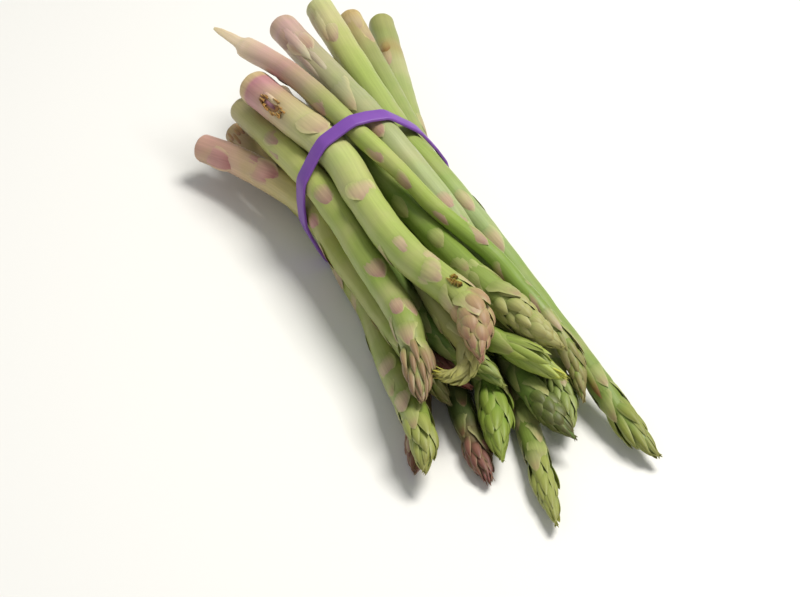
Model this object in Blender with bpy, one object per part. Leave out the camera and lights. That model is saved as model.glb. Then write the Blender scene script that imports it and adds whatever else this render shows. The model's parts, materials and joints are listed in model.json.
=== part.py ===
"""A bundle of green asparagus: nineteen spears lying side by side in one flat rubber band.

X runs along the bundle from the cut butts to the tips, Z is up, and the bundle lies on z = 0.
Each spear is one grown piece, so it is one closed solid: a round stem that wanders a little, a
straight cut at the butt and a head that narrows to a point. The band pinches the stems at a waist
and spreads them into a fan towards the tips. Its underside is the flat face that the bundle rests on.
Lengths are in millimetres until a mesh is made.
"""

import math

import bmesh
import bpy
import numpy as np

MM = 0.001

# The band: a flat strip on edge round the stems, tipped back over the bundle.
BAND_WIDTH = 6.0
BAND_THICKNESS = 1.0
BAND_LEAN = math.tan(math.radians(12))
BAND_SIDES = 60
CLEARANCE = 0.3  # between the band and the stems it holds

# The stems.
STEM_SIDES = 10
STEM_RING_STEP = 10.0  # between rings along a straight stem
HEAD_RING_STEP = 4.5  # between rings along the head
BEND_RING_STEP = math.radians(16)  # turn between rings round a bend
HEAD_FULLNESS = 2.2  # how far the head keeps its width before it narrows
HEAD_SHARPNESS = 0.75
POINT_SHARE = 0.07  # the tip's width as a share of the stem's

# How the routes are spread until neighbouring stems clear each other.
STEM_GAP = 0.5
ROUTE_POINTS = 44
SPREAD_ROUNDS = 420
PUSH_SHARE = 0.22  # of each overlap, taken out in one round
STIFFNESS = 0.3  # how much a moved point takes its neighbours along
BAND_REACH = 9.0  # stems this near the band's middle lie on the band, not on the surface

TINTS = {
    "green": (0.36, 0.47, 0.13),
    "pale": (0.52, 0.58, 0.27),
    "purple": (0.30, 0.20, 0.17),
    "band": (0.27, 0.10, 0.50),
}

# One stem a line: its tint, the length of its head, and the route of its middle from the butt to
# the tip as (x, y, z, radius). The band's middle is at x = 0.
STEMS = [
    ("green", 20, [(-76, -2, 9, 4.6), (-1, 4, 7, 4.7), (11, 2, 6, 4.5), (37, 0, 6, 4.4),
                   (59, -5, 7.5, 4.4), (81, -10, 10, 4.5), (98, -13, 12.5, 4.8),
                   (112, -16, 12.5, 5), (124, -21, 9.5, 5)]),
    ("pale", 16, [(-67, -18, 12, 5), (-46, -9, 14.5, 5.1), (-4, 0, 18, 5.2), (13, -2, 17.5, 4.9),
                  (43, -2, 16, 4.5), (62, -3, 16, 4), (82, -3, 15, 3.8), (98, 0, 10, 3.8)]),
    ("pale", 22, [(-71, -1, 21.5, 4.9), (-6, 0, 29, 5), (10, 0, 28, 4.8), (32, -1, 27, 4.8),
                  (52, -2, 26, 4.8), (71, -3, 25.5, 4.8), (88, -7, 23.5, 5), (105, -13, 20.5, 4.8)]),
    ("pale", 24, [(-62, 0, 35.5, 6.2), (-7, 8, 37, 6.1), (19, 6, 36.5, 5.8), (39, 5, 36.5, 5.7),
                  (58, 6, 36.5, 5.5), (72, 9, 36.5, 5.5), (87, 11, 36, 5.8), (99, 8, 34.5, 5.8),
                  (108, 5, 31.5, 5.4)]),
    ("green", 20, [(-94, -2, 42.5, 0.9), (-86, 1, 42.5, 1.9), (-78, 3, 42.5, 3.4),
                   (-56, 10, 43, 3.9), (-35, 13, 43.5, 3.8), (-8, 17, 42.5, 3.5),
                   (17, 21, 40.5, 2.9), (36, 24, 37.5, 2.9), (52, 29, 35, 2.9), (63, 33, 32, 2.9),
                   (77, 35, 29, 2.9), (90, 38, 25, 2.9), (101, 40, 18.5, 3.4), (116, 37, 11.5, 3)]),
    ("pale", 20, [(-91, 23, 37.5, 5.3), (-7, 25, 40, 5.2), (11, 28, 35.5, 5), (34, 31, 30.5, 4.6),
                  (52, 32, 26, 4.4), (65, 34, 23, 4.2), (80, 37, 17, 4.2), (98, 36, 11.5, 4.4),
                  (122, 30, 7.5, 4.2)]),
    ("green", 20, [(-98, 40, 38, 5.1), (-7, 34, 34, 4.9), (6, 36.5, 32, 4.6), (22, 39, 28.5, 4.2),
                   (41, 41.5, 24.5, 4), (67, 44, 18.5, 3.8), (90, 46, 13.5, 3.7),
                   (116, 47, 8.5, 4.2), (133, 48, 6, 4.3), (142, 50, 5, 4)]),
    ("green", 18, [(-101, 54, 29, 4.4), (-5, 41, 24.5, 4.2), (40, 36, 16.5, 4), (75, 30, 13, 3.9),
                   (87, 26, 11.5, 4), (113, 25, 12, 4.4), (129, 28, 9, 4.2)]),
    ("green", 16, [(-107, 69, 20, 4.7), (-3, 42, 15, 4.5), (50, 38, 6.5, 3.8), (80, 37, 4.5, 3.4),
                   (106, 30, 5, 2.8)]),
    ("purple", 16, [(-66, 14, 7, 4.1), (-1, 14, 5.5, 4.1), (41, 8, 4, 3.9), (81, -3, 4, 3.8),
                    (116, -21, 3.5, 3.6)]),
    ("purple", 18, [(-70, 26, 6.5, 4.1), (-1, 24, 5.5, 4.1), (51, 17, 4, 3.9), (95, 6, 4, 3.9),
                    (130, -1, 3.5, 3.8)]),
    ("green", 26, [(-68, 37, 7, 4.2), (-1, 33, 5.5, 4.2), (45, 28, 4, 4), (83, 29, 4, 3.9),
                   (102, 23, 4, 3.9), (126, 16, 4.5, 4), (156, 7, 4, 3.9)]),
    ("green", 24, [(-64, 21, 14, 4.3), (-3, 19, 13, 4.3), (50, 12, 12.5, 4.2), (79, 16, 10.5, 4.6),
                   (101, 12, 9.5, 5.2), (115, 6, 9.5, 5.4), (126, 3, 7, 5.2)]),
    ("purple", 14, [(-66, 12, 16, 3.7), (-3, 11, 14.5, 3.6), (40, 5, 12, 3.3), (68, 3, 11.5, 3.3),
                    (94, 9, 10.5, 3.2)]),
    ("green", 16, [(-68, 12, 26, 4), (-5, 11, 23.5, 3.9), (50, 5, 20, 3.9), (75, 5, 18.5, 3.9),
                   (98, 13, 17.5, 3.8), (104, 15, 15, 3.4)]),
    ("pale", 18, [(-66, 25, 23, 4), (-5, 19, 21.5, 3.9), (40, 13, 25, 3.9), (79, 8, 26.5, 3.8),
                  (93, 8, 25.5, 3.7), (100, 5, 24.5, 3.6), (102, 1, 23.5, 3.4),
                  (100, -2, 22.5, 3.2), (94, -4, 21.5, 2.6)]),
    ("pale", 28, [(-71, 32, 29.5, 4.6), (-6, 19, 32, 4.4), (8, 20, 30, 4.4), (40, 22, 30, 4.5),
                  (64, 24, 29, 4.8), (81, 27, 29, 5.6), (96, 30, 28, 5.6), (107, 34, 26.5, 5.2)]),
    ("pale", 22, [(-72, 41, 26, 4.1), (-5, 29, 24.5, 4), (40, 22, 21.5, 3.9), (76, 17, 19.5, 4),
                  (93, 22, 22, 4.4), (112, 32, 20, 4.2)]),
    ("green", 14, [(-72, 48, 15, 4), (-3, 31, 14.5, 3.9), (50, 27, 16.5, 3.6), (77, 26, 19.5, 3.5),
                   (107, 31, 16, 3.2)]),
]


def clear_scene():
    for obj in list(bpy.data.objects):
        bpy.data.objects.remove(obj)


def make_material(name, colour, roughness):
    material = bpy.data.materials.new(name)
    material.use_nodes = True
    shader = material.node_tree.nodes["Principled BSDF"]
    shader.inputs["Base Color"].default_value = (*colour, 1.0)
    shader.inputs["Roughness"].default_value = roughness
    return material


def add_object(name, mesh, material):
    mesh.materials.append(material)
    mesh.shade_smooth()
    mesh.set_sharp_from_angle(angle=math.radians(50))
    bpy.context.collection.objects.link(bpy.data.objects.new(name, mesh))


def distance_along(points):
    steps = np.linalg.norm(np.diff(points[:, :3], axis=0), axis=1)
    return np.concatenate([[0.0], np.cumsum(steps)])


def resample(route, places):
    """The route's rows at the given distances along it."""
    along = distance_along(route)
    return np.stack([np.interp(places, along, column) for column in route.T], axis=1)


def smooth_route(points, count, steps=20):
    """A smooth curve through the points (centripetal Catmull-Rom), as evenly spaced rows."""
    points = np.asarray(points, float)
    ends = 2 * points[[0, -1]] - points[[1, -2]]
    points = np.vstack([ends[:1], points, ends[1:]])
    rows = []
    for a, b, c, d in zip(points, points[1:], points[2:], points[3:]):
        knots = [0.0]
        for near, far in ((a, b), (b, c), (c, d)):
            knots.append(knots[-1] + math.sqrt(np.linalg.norm((far - near)[:3])))
        t0, t1, t2, t3 = knots
        t = np.linspace(t1, t2, steps, endpoint=False)[:, None]
        ab = ((t1 - t) * a + (t - t0) * b) / (t1 - t0)
        bc = ((t2 - t) * b + (t - t1) * c) / (t2 - t1)
        cd = ((t3 - t) * c + (t - t2) * d) / (t3 - t2)
        abc = ((t2 - t) * ab + (t - t0) * bc) / (t2 - t0)
        bcd = ((t3 - t) * bc + (t - t1) * cd) / (t3 - t1)
        rows.append(((t2 - t) * abc + (t - t1) * bcd) / (t2 - t1))
    curve = np.vstack([*rows, points[-2:-1]])
    return resample(curve, np.linspace(0, distance_along(curve)[-1], count))


def narrowed(route, head):
    """The radius along the route, drawn in to a point over the head."""
    along = distance_along(route)
    into_head = np.clip(1 - (along[-1] - along) / head, 0, 1)
    width = np.clip(1 - into_head**HEAD_FULLNESS, 0, 1) ** HEAD_SHARPNESS
    return route[:, 3] * (POINT_SHARE + (1 - POINT_SHARE) * width)


def spread_apart(routes, radii):
    """Moves the routes aside a little at a time until neighbouring stems clear each other.

    Every point looks for the nearest place on each other stem. Where the two are too close, both
    are pushed apart along the line between them. A stem bends smoothly, so a point's move is
    shared with its neighbours, and no stem goes under the surface or into the band.
    """
    stems, count = radii.shape
    start = routes[:, :, :3].copy()
    place = start.copy()
    owner = np.repeat(np.arange(stems), count)
    piece_owner = np.repeat(np.arange(stems), count - 1)
    same_stem = owner[:, None] == piece_owner[None]
    point_radius = radii.reshape(-1, 1)
    first_radius = radii[:, :-1].reshape(1, -1)
    last_radius = radii[:, 1:].reshape(1, -1)
    on_band = np.abs(start[:, :, 0]) < BAND_REACH
    floor = radii + np.where(on_band, BAND_THICKNESS + CLEARANCE, 0.0)
    for _ in range(SPREAD_ROUNDS):
        points = place.reshape(-1, 3)
        first = place[:, :-1].reshape(-1, 3)
        piece = np.diff(place, axis=1).reshape(-1, 3)
        square = (piece * piece).sum(1)[None]
        along = points @ piece.T - (first * piece).sum(1)[None]
        share = np.clip(along / square, 0, 1)
        apart = (points * points).sum(1)[:, None] + (first * first).sum(1)[None]
        apart += -2 * points @ first.T + share * share * square - 2 * share * along
        needed = point_radius + first_radius * (1 - share) + last_radius * share + STEM_GAP
        overlap = needed - np.sqrt(np.maximum(apart, 1e-9))
        overlap[same_stem] = -1
        by_stem = overlap.reshape(stems * count, stems, count - 1)
        closest = by_stem.argmax(2)
        point, other = np.nonzero(by_stem.max(2) > 0)
        step = closest[point, other]
        index = other * (count - 1) + step
        part = share[point, index][:, None]
        away = points[point] - (first[index] + part * piece[index])
        away /= np.linalg.norm(away, axis=1, keepdims=True) + 1e-9
        push = away * (PUSH_SHARE * overlap[point, index][:, None])
        move = np.zeros_like(points)
        np.add.at(move, point, push)
        np.add.at(move, other * count + step, -push * (1 - part))
        np.add.at(move, other * count + step + 1, -push * part)
        place = place + move.reshape(place.shape)
        place[:, :, 2] = np.maximum(place[:, :, 2], floor)
        shift = place - start
        shared = shift.copy()
        shared[:, 1:-1] += STIFFNESS * (0.5 * (shift[:, :-2] + shift[:, 2:]) - shift[:, 1:-1])
        shared[:, 0] += STIFFNESS * (shift[:, 1] - shift[:, 0])
        shared[:, -1] += STIFFNESS * (shift[:, -2] - shift[:, -1])
        place = start + shared
    place[:, :, 2] = np.maximum(place[:, :, 2], floor)
    return np.concatenate([place, routes[:, :, 3:]], axis=2)


def ring_places(route, head):
    """Distances along the route for the rings: close together on the head and round bends."""
    along = distance_along(route)
    heading = np.diff(route[:, :3], axis=0)
    heading /= np.linalg.norm(heading, axis=1, keepdims=True)
    turn = np.arccos(np.clip((heading[1:] * heading[:-1]).sum(1), -1, 1))
    turn = np.concatenate([turn, [0.0]])
    step = np.where(along[1:] > along[-1] - head, HEAD_RING_STEP, STEM_RING_STEP)
    rings = np.concatenate([[0.0], np.cumsum(np.diff(along) / step + turn / BEND_RING_STEP)])
    count = math.ceil(rings[-1])
    return np.interp(np.linspace(0, rings[-1], count + 1), rings, along)


def headings(points):
    """The unit direction of travel at each point."""
    travel = np.gradient(points, axis=0)
    return travel / np.linalg.norm(travel, axis=1, keepdims=True)


def stem_mesh(name, route, radii):
    """A closed tube round the route, with a flat butt and one point at the tip."""
    points = route[:, :3]
    forward = headings(points)
    side = np.cross(forward[0], (0.0, 0.0, 1.0))
    bm = bmesh.new()
    rings = []
    for point, direction, radius in zip(points[:-1], forward[:-1], radii[:-1]):
        side = side - direction * (side @ direction)
        side /= np.linalg.norm(side)
        up = np.cross(side, direction)
        ring = []
        for number in range(STEM_SIDES):
            angle = 2 * math.pi * number / STEM_SIDES
            place = point + radius * (math.cos(angle) * side + math.sin(angle) * up)
            ring.append(bm.verts.new(place * MM))
        rings.append(ring)
    tip = bm.verts.new(points[-1] * MM)
    for ring, following in zip(rings, rings[1:]):
        for number in range(STEM_SIDES):
            after = (number + 1) % STEM_SIDES
            bm.faces.new((ring[number], ring[after], following[after], following[number]))
    for number in range(STEM_SIDES):
        bm.faces.new((rings[-1][number], rings[-1][(number + 1) % STEM_SIDES], tip))
    bm.faces.new(rings[0])
    bmesh.ops.recalc_face_normals(bm, faces=bm.faces)
    mesh = bpy.data.meshes.new(name)
    bm.to_mesh(mesh)
    bm.free()
    return mesh


def band_outline(distances, angles):
    """The corners of the outline whose side at each angle stands that distance from the middle."""
    corners = []
    for a, b, near, far in zip(angles, np.roll(angles, -1), distances, np.roll(distances, -1)):
        turn = math.sin(b - a)
        y = (near * math.sin(b) - far * math.sin(a)) / turn
        z = (far * math.cos(a) - near * math.cos(b)) / turn
        corners.append((y, z))
    return corners


def band_mesh(name, routes, radii):
    """A strip stretched round the stems: it touches the outermost ones and runs straight between."""
    angles = 2 * math.pi * np.arange(BAND_SIDES) / BAND_SIDES - math.pi / 2
    outward = np.stack([np.zeros(BAND_SIDES), np.cos(angles), np.sin(angles)])
    reach = np.full(BAND_SIDES, -np.inf)
    for route, radius in zip(routes, radii):
        offset = route[:, 0] + BAND_LEAN * route[:, 2]
        near = np.abs(offset) < BAND_WIDTH / 2 + 0.5 * radius
        points = route[near, :3]
        tilt = headings(route[:, :3])[near] @ outward
        cover = points @ outward + radius[near, None] * np.sqrt(1 - tilt**2)
        reach = np.maximum(reach, cover.max(0))
    inner = reach + CLEARANCE
    bm = bmesh.new()
    loops = []
    for distances in (inner, inner + BAND_THICKNESS):
        corners = band_outline(distances, angles)
        for edge in (-BAND_WIDTH / 2, BAND_WIDTH / 2):
            loops.append(
                [bm.verts.new(((edge - BAND_LEAN * z) * MM, y * MM, z * MM)) for y, z in corners]
            )
    inner_back, inner_front, outer_back, outer_front = loops
    walls = (
        (inner_back, inner_front),
        (inner_front, outer_front),
        (outer_front, outer_back),
        (outer_back, inner_back),
    )
    for one, other in walls:
        for number in range(BAND_SIDES):
            after = (number + 1) % BAND_SIDES
            bm.faces.new((one[number], one[after], other[after], other[number]))
    bmesh.ops.recalc_face_normals(bm, faces=bm.faces)
    mesh = bpy.data.meshes.new(name)
    bm.to_mesh(mesh)
    bm.free()
    return mesh


def centre_meshes(meshes):
    """Puts the middle of the bundle's box over the origin and its lowest face on z = 0."""
    corners = np.array([vertex.co for mesh in meshes for vertex in mesh.vertices])
    low = corners.min(0)
    high = corners.max(0)
    middle = (low + high) / 2
    for mesh in meshes:
        for vertex in mesh.vertices:
            vertex.co.x -= middle[0]
            vertex.co.y -= middle[1]
            vertex.co.z -= low[2]


def main():
    clear_scene()
    heads = [head for _, head, _ in STEMS]
    routes = np.array([smooth_route(points, ROUTE_POINTS) for _, _, points in STEMS])
    radii = np.array([narrowed(route, head) for route, head in zip(routes, heads)])
    routes = spread_apart(routes, radii)
    fine_routes = []
    fine_radii = []
    stems = []
    for number, (tint, head, _) in enumerate(STEMS):
        fine = smooth_route(routes[number], 8 * ROUTE_POINTS)
        rings = resample(fine, ring_places(fine, head))
        fine_routes.append(fine)
        fine_radii.append(narrowed(fine, head))
        mesh = stem_mesh("stem", rings, narrowed(rings, head))
        stems.append((f"spear_{number + 1:02d}", tint, mesh))
    band = band_mesh("band", fine_routes, fine_radii)
    centre_meshes([mesh for _, _, mesh in stems] + [band])
    for name, tint, mesh in stems:
        add_object(name, mesh, make_material(name, TINTS[tint], 0.5))
    add_object("rubber_band", band, make_material("rubber_band", TINTS["band"], 0.55))


main()
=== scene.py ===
# %% [markdown]
# # A bundle of green asparagus
#
# Nineteen fresh spears lie on their sides, held at the waist by a flat violet rubber band.
# A spear is one young shoot: a fleshy stem, cut off square at the butt, with papery triangular
# scales along it, and at its end a head where the same scales crowd over the buds.
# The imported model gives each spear's route and thickness, so everything here is grown on it.

import json
import math

import bmesh
import bpy
import numpy as np
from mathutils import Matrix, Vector

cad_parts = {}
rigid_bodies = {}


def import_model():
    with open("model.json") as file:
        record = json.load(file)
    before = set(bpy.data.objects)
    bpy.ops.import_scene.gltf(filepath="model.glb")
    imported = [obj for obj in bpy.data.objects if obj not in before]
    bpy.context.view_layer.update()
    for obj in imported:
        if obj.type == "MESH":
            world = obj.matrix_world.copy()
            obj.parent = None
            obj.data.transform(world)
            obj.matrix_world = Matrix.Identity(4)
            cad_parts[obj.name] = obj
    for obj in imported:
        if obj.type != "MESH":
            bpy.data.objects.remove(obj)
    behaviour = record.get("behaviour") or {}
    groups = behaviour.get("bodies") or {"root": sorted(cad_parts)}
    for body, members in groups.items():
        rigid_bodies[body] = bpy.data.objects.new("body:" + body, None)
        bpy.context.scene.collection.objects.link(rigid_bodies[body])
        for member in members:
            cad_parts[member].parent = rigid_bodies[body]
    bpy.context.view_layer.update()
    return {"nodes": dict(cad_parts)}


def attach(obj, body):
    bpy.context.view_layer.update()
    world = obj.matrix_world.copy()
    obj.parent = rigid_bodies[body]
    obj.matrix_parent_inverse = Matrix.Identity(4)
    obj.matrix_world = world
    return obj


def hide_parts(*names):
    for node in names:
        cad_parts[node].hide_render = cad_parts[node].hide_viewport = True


for startup_thing in list(bpy.data.objects):
    bpy.data.objects.remove(startup_thing)
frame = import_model()
MM = 0.001

# %% [markdown]
# ## Two helpers
#
# Colours are written as the hex values that a paint chart gives. Blender mixes light in linear
# values, so one function turns them. A second function adds a node to any tree, with its
# settings and its inputs. An input is named by its label or its number: a Mix node has its
# share at 0 and its colours at 6 and 7; a Map Range node has its value at 0 and turns the range
# 1 to 2 into 3 to 4.


# %% Colour and node helpers
def linear(hex_colour):
    """A chart colour such as #7FA03C as linear red, green, blue and alpha."""
    parts = [int(hex_colour[i : i + 2], 16) / 255 for i in (1, 3, 5)]
    return [p / 12.92 if p <= 0.04045 else ((p + 0.055) / 1.055) ** 2.4 for p in parts] + [1.0]


def add_node(tree, kind, inputs=None, **settings):
    """Adds a node; an input is a plain value, an output, or a node for its first output."""
    node = tree.nodes.new(kind)
    for name, value in settings.items():
        setattr(node, name, value)
    for key, value in (inputs or {}).items():
        if isinstance(value, bpy.types.Node):
            value = value.outputs[0]
        if isinstance(value, bpy.types.NodeSocket):
            tree.links.new(value, node.inputs[key])
        else:
            node.inputs[key].default_value = value
    return node


print("fresh stem green in linear light:", [round(v, 3) for v in linear("#8FA846")])

# %% [markdown]
# ## Camera
#
# The bundle is looked at from above its tips, a little to its right, from about 0.9 m with a
# long lens, so the spears run away from the eye and the far butts hardly shrink.

# %% Camera
camera_data = bpy.data.cameras.new("camera")
camera_data.sensor_width = 36
camera_data.lens = 119.16
camera_data.clip_start = 0.05
camera = bpy.data.objects.new("camera", camera_data)
bpy.context.scene.collection.objects.link(camera)
camera.location = Vector((0.6514, -0.3086, 0.5257))
look_at = Vector((0.00487, -0.01105, 0.0))
camera.rotation_euler = (look_at - camera.location).to_track_quat("-Z", "Y").to_euler()
bpy.context.scene.camera = camera
bpy.context.scene.view_settings.view_transform = "Standard"
print("camera is", round((look_at - camera.location).length, 3), "m away")

# %% [markdown]
# ## Light and floor
#
# Food is usually shown under one big soft box that hangs above and behind it, with a weak fill
# from the front. The soft box leaves a broad satin shine on the stems and a soft shadow between
# them. The floor is plain and pale.


# %% Light and floor
LAMPS_AIM = Vector((0.02, 0, 0.02))


def soft_box(name, place, size, watts, colour):
    data = bpy.data.lights.new(name, "AREA")
    data.shape = "SQUARE"
    data.size = size
    data.energy = watts
    data.color = linear(colour)[:3]
    lamp = bpy.data.objects.new(name, data)
    bpy.context.scene.collection.objects.link(lamp)
    lamp.location = place
    lamp.rotation_euler = (LAMPS_AIM - lamp.location).to_track_quat("-Z", "Y").to_euler()


soft_box("key", (0.06, 0.40, 0.95), 0.42, 12.0, "#FFFDF8")
soft_box("fill", (0.75, -0.75, 0.55), 0.9, 1.7, "#F6FAFF")

world = bpy.data.worlds.new("studio")
bpy.context.scene.world = world
world.use_nodes = True
world.node_tree.nodes["Background"].inputs["Color"].default_value = linear("#F4F5F7")
world.node_tree.nodes["Background"].inputs["Strength"].default_value = 0.36

floor_mesh = bpy.data.meshes.new("floor")
HALF_FLOOR = 4.0
floor_mesh.from_pydata(
    [(x * HALF_FLOOR, y * HALF_FLOOR, 0) for x, y in ((-1, -1), (1, -1), (1, 1), (-1, 1))],
    [],
    [(0, 1, 2, 3)],
)
floor = bpy.data.objects.new("floor", floor_mesh)
bpy.context.scene.collection.objects.link(floor)
floor_paint = bpy.data.materials.new("matt_white_paint")
floor_paint.use_nodes = True
floor_shader = floor_paint.node_tree.nodes["Principled BSDF"]
floor_shader.inputs["Base Color"].default_value = linear("#E9E8E4")
floor_shader.inputs["Roughness"].default_value = 0.85
floor_mesh.materials.append(floor_paint)
print("two soft boxes and a", 2 * HALF_FLOOR, "m floor")

# %% [markdown]
# ## Reading each spear's route
#
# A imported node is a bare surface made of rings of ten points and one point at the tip. Walking
# from the tip from ring to ring gives the middle line and the thickness at every place. Two
# directions go with each place: up, and to the side, so a scale's place on the stem is a
# distance from the butt and an angle round the stem, as on a clock.

# %% Trace the routes
RING_POINTS = 10
SMOOTH_STEPS = 5  # of 1 mm, on each side


def merged(node):
    """A node's corners without doubles, and its triangles as numbers of those corners."""
    corners = np.array([v.co for v in node.data.vertices])
    points, same = np.unique(np.round(corners, 6), axis=0, return_inverse=True)
    same = same.reshape(-1)
    return points, [[int(same[i]) for i in face.vertices] for face in node.data.polygons]


def ring_walk(points, triangles):
    """Middle and radius of each ring, from the butt to the tip."""
    linked = [set() for _ in points]
    for a, b, c in triangles:
        linked[a] |= {b, c}
        linked[b] |= {a, c}
        linked[c] |= {a, b}
    tip = next(i for i, near in enumerate(linked) if len(near) == RING_POINTS)
    rings, seen, ring = [], {tip}, set(linked[tip])
    while len(ring) == RING_POINTS:
        rings.append(sorted(ring))
        seen |= ring
        ring = set().union(*[linked[i] for i in ring]) - seen
    middles = [points[tip]] + [points[r].mean(0) for r in rings]
    radii = [0.0] + [np.linalg.norm(points[r] - points[r].mean(0), axis=1).mean() for r in rings]
    return np.array(middles)[::-1], np.array(radii)[::-1]


def read_at(mm, marks, rows):
    """The rows of a table, one for each mark in mm, read off at any mm between the marks."""
    return np.stack([np.interp(mm, marks, column) for column in rows.T], axis=-1)


def smooth(values, reach):
    """A running average over reach steps each way that leaves both ends in place."""
    weights = np.hanning(2 * reach + 3)[1:-1]
    first, last = values[:1], values[-1:]
    before = 2 * first - values[1 : reach + 1][::-1]
    after = 2 * last - values[-reach - 1 : -1][::-1]
    longer = np.concatenate([before, values, after])
    columns = [np.convolve(longer[:, i], weights / weights.sum(), "valid") for i in range(3)]
    return np.stack(columns, axis=1)


class Route:
    """One spear's middle line, thickness and clock directions, by millimetres from its butt."""

    def __init__(self, node):
        middles, radii = ring_walk(*merged(node))
        steps = np.linalg.norm(np.diff(middles, axis=0), axis=1)
        far = np.concatenate([[0], np.cumsum(steps)]) / MM
        self.length = far[-1]
        self.mm = np.linspace(0, self.length, int(self.length) + 1)
        self.line = smooth(read_at(self.mm, far, middles), SMOOTH_STEPS)
        self.radii = np.interp(self.mm, far, radii)
        along = np.gradient(self.line, axis=0)
        self.along = along / np.linalg.norm(along, axis=1, keepdims=True)
        up = np.array([0, 0, 1.0]) - self.along * self.along[:, 2:3]
        self.up = up / np.linalg.norm(up, axis=1, keepdims=True)
        self.side = np.cross(self.along, self.up)

    def at(self, mm):
        """Middle, direction, up, side and radius at mm from the butt."""
        found = [read_at(mm, self.mm, rows)
                 for rows in (self.line, self.along, self.up, self.side)]
        return (*found, float(np.interp(mm, self.mm, self.radii)))


routes = {name: Route(node) for name, node in frame["nodes"].items() if name != "rubber_band"}
print("lengths in mm:", {name[-2:]: round(route.length) for name, route in sorted(routes.items())})

# %% [markdown]
# ## The stem: a curve given a thickness
#
# A stem could be a subdivided cylinder bent along a line. A curve swept with a round profile is
# better here, since the tree keeps the thickness as a number on each point of the curve.
# The profile hands its own round position on, which gives the skin a direction along and
# around the stem for its fibres. The flutes are shallow ribs that run the length of the stem.

# %% The stem's tree
STEM_SIDES = 32
FLUTES = 9
FLUTE_DEPTH = 0.006  # share of the stem's radius
LUMP = 0.22 * MM
CUT_RING = 1.5 * MM  # thinner rings belong to the cut face and the tip, which stay smooth


def start_tree(name, sockets):
    tree = bpy.data.node_groups.new(name, "GeometryNodeTree")
    tree.interface.new_socket("Geometry", in_out="INPUT", socket_type="NodeSocketGeometry")
    for label, kind in sockets:
        tree.interface.new_socket(label, in_out="INPUT", socket_type=kind)
    tree.interface.new_socket("Geometry", in_out="OUTPUT", socket_type="NodeSocketGeometry")
    return tree, add_node(tree, "NodeGroupInput").outputs


def finish_tree(tree, geometry, material):
    """Every tree here ends in real mesh with smooth shading and its finish."""
    real = add_node(tree, "GeometryNodeRealizeInstances", {"Geometry": geometry})
    soft = add_node(tree, "GeometryNodeSetShadeSmooth", {"Geometry": real})
    done = add_node(tree, "GeometryNodeSetMaterial", {"Geometry": soft, "Material": material})
    add_node(tree, "NodeGroupOutput", {"Geometry": done})


stem_tree, stem_in = start_tree(
    "grow_stem",
    [("Sides", "NodeSocketInt"), ("Flutes", "NodeSocketInt"), ("Flute depth", "NodeSocketFloat"),
     ("Skin", "NodeSocketMaterial")],
)
spine = add_node(stem_tree, "GeometryNodeMeshToCurve", {"Mesh": stem_in["Geometry"]})
ring = add_node(stem_tree, "GeometryNodeCurvePrimitiveCircle",
                {"Resolution": stem_in["Sides"], "Radius": 1.0})
ring_place = add_node(stem_tree, "GeometryNodeInputPosition")
marked_ring = add_node(stem_tree, "GeometryNodeStoreNamedAttribute",
                       {"Geometry": ring, "Name": "round", "Value": ring_place},
                       data_type="FLOAT_VECTOR")
thickness = add_node(stem_tree, "GeometryNodeInputNamedAttribute", {"Name": "thickness"},
                     data_type="FLOAT")
swept = add_node(stem_tree, "GeometryNodeCurveToMesh",
                 {"Curve": spine, "Profile Curve": marked_ring, "Scale": thickness,
                  "Fill Caps": True})
round_place = add_node(stem_tree, "GeometryNodeInputNamedAttribute", {"Name": "round"},
                       data_type="FLOAT_VECTOR")
round_parts = add_node(stem_tree, "ShaderNodeSeparateXYZ", {0: round_place})
angle = add_node(stem_tree, "ShaderNodeMath",
                 {0: round_parts.outputs["Y"], 1: round_parts.outputs["X"]}, operation="ARCTAN2")
turns = add_node(stem_tree, "ShaderNodeMath", {0: angle, 1: stem_in["Flutes"]},
                 operation="MULTIPLY")
wave = add_node(stem_tree, "ShaderNodeMath", {0: turns}, operation="SINE")
depth = add_node(stem_tree, "ShaderNodeMath", {0: wave, 1: stem_in["Flute depth"]},
                 operation="MULTIPLY")
own_depth = add_node(stem_tree, "ShaderNodeMath", {0: depth, 1: thickness}, operation="MULTIPLY")
outward = add_node(stem_tree, "GeometryNodeInputNormal")
push = add_node(stem_tree, "ShaderNodeVectorMath", {0: outward, "Scale": own_depth},
                operation="SCALE")
fluted = add_node(stem_tree, "GeometryNodeSetPosition", {"Geometry": swept, "Offset": push})
lumps = add_node(stem_tree, "ShaderNodeTexNoise", {"Scale": 75.0, "Detail": 1.0})
lump_size = add_node(stem_tree, "ShaderNodeMapRange",
                     {0: lumps, 1: 0.25, 2: 0.75, 3: -LUMP, 4: LUMP})
lump_push = add_node(stem_tree, "ShaderNodeVectorMath", {0: outward, "Scale": lump_size},
                     operation="SCALE")
on_side = add_node(stem_tree, "ShaderNodeMath", {0: thickness, 1: CUT_RING},
                   operation="GREATER_THAN")
lumpy = add_node(stem_tree, "GeometryNodeSetPosition",
                 {"Geometry": fluted, "Selection": on_side, "Offset": lump_push})
finish_tree(stem_tree, lumpy, stem_in["Skin"])
print("stem tree has", len(stem_tree.nodes), "nodes")

# %% [markdown]
# ## The scales: one leaf shape set on many points
#
# The scales of a spear are its true leaves. Each is a curved flap that hugs the stem. One small
# closed flap is modelled for each kind, and the tree sets it on points that know which way the
# tip goes and which way is out. A few random degrees of roll and lift keep them from looking
# stamped. Flush scales are pressed flat on the stem, neck scales wrap it, buds are plump,
# leaves are pointed and fingers narrow, and threads are what is left of a dried tip.

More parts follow.
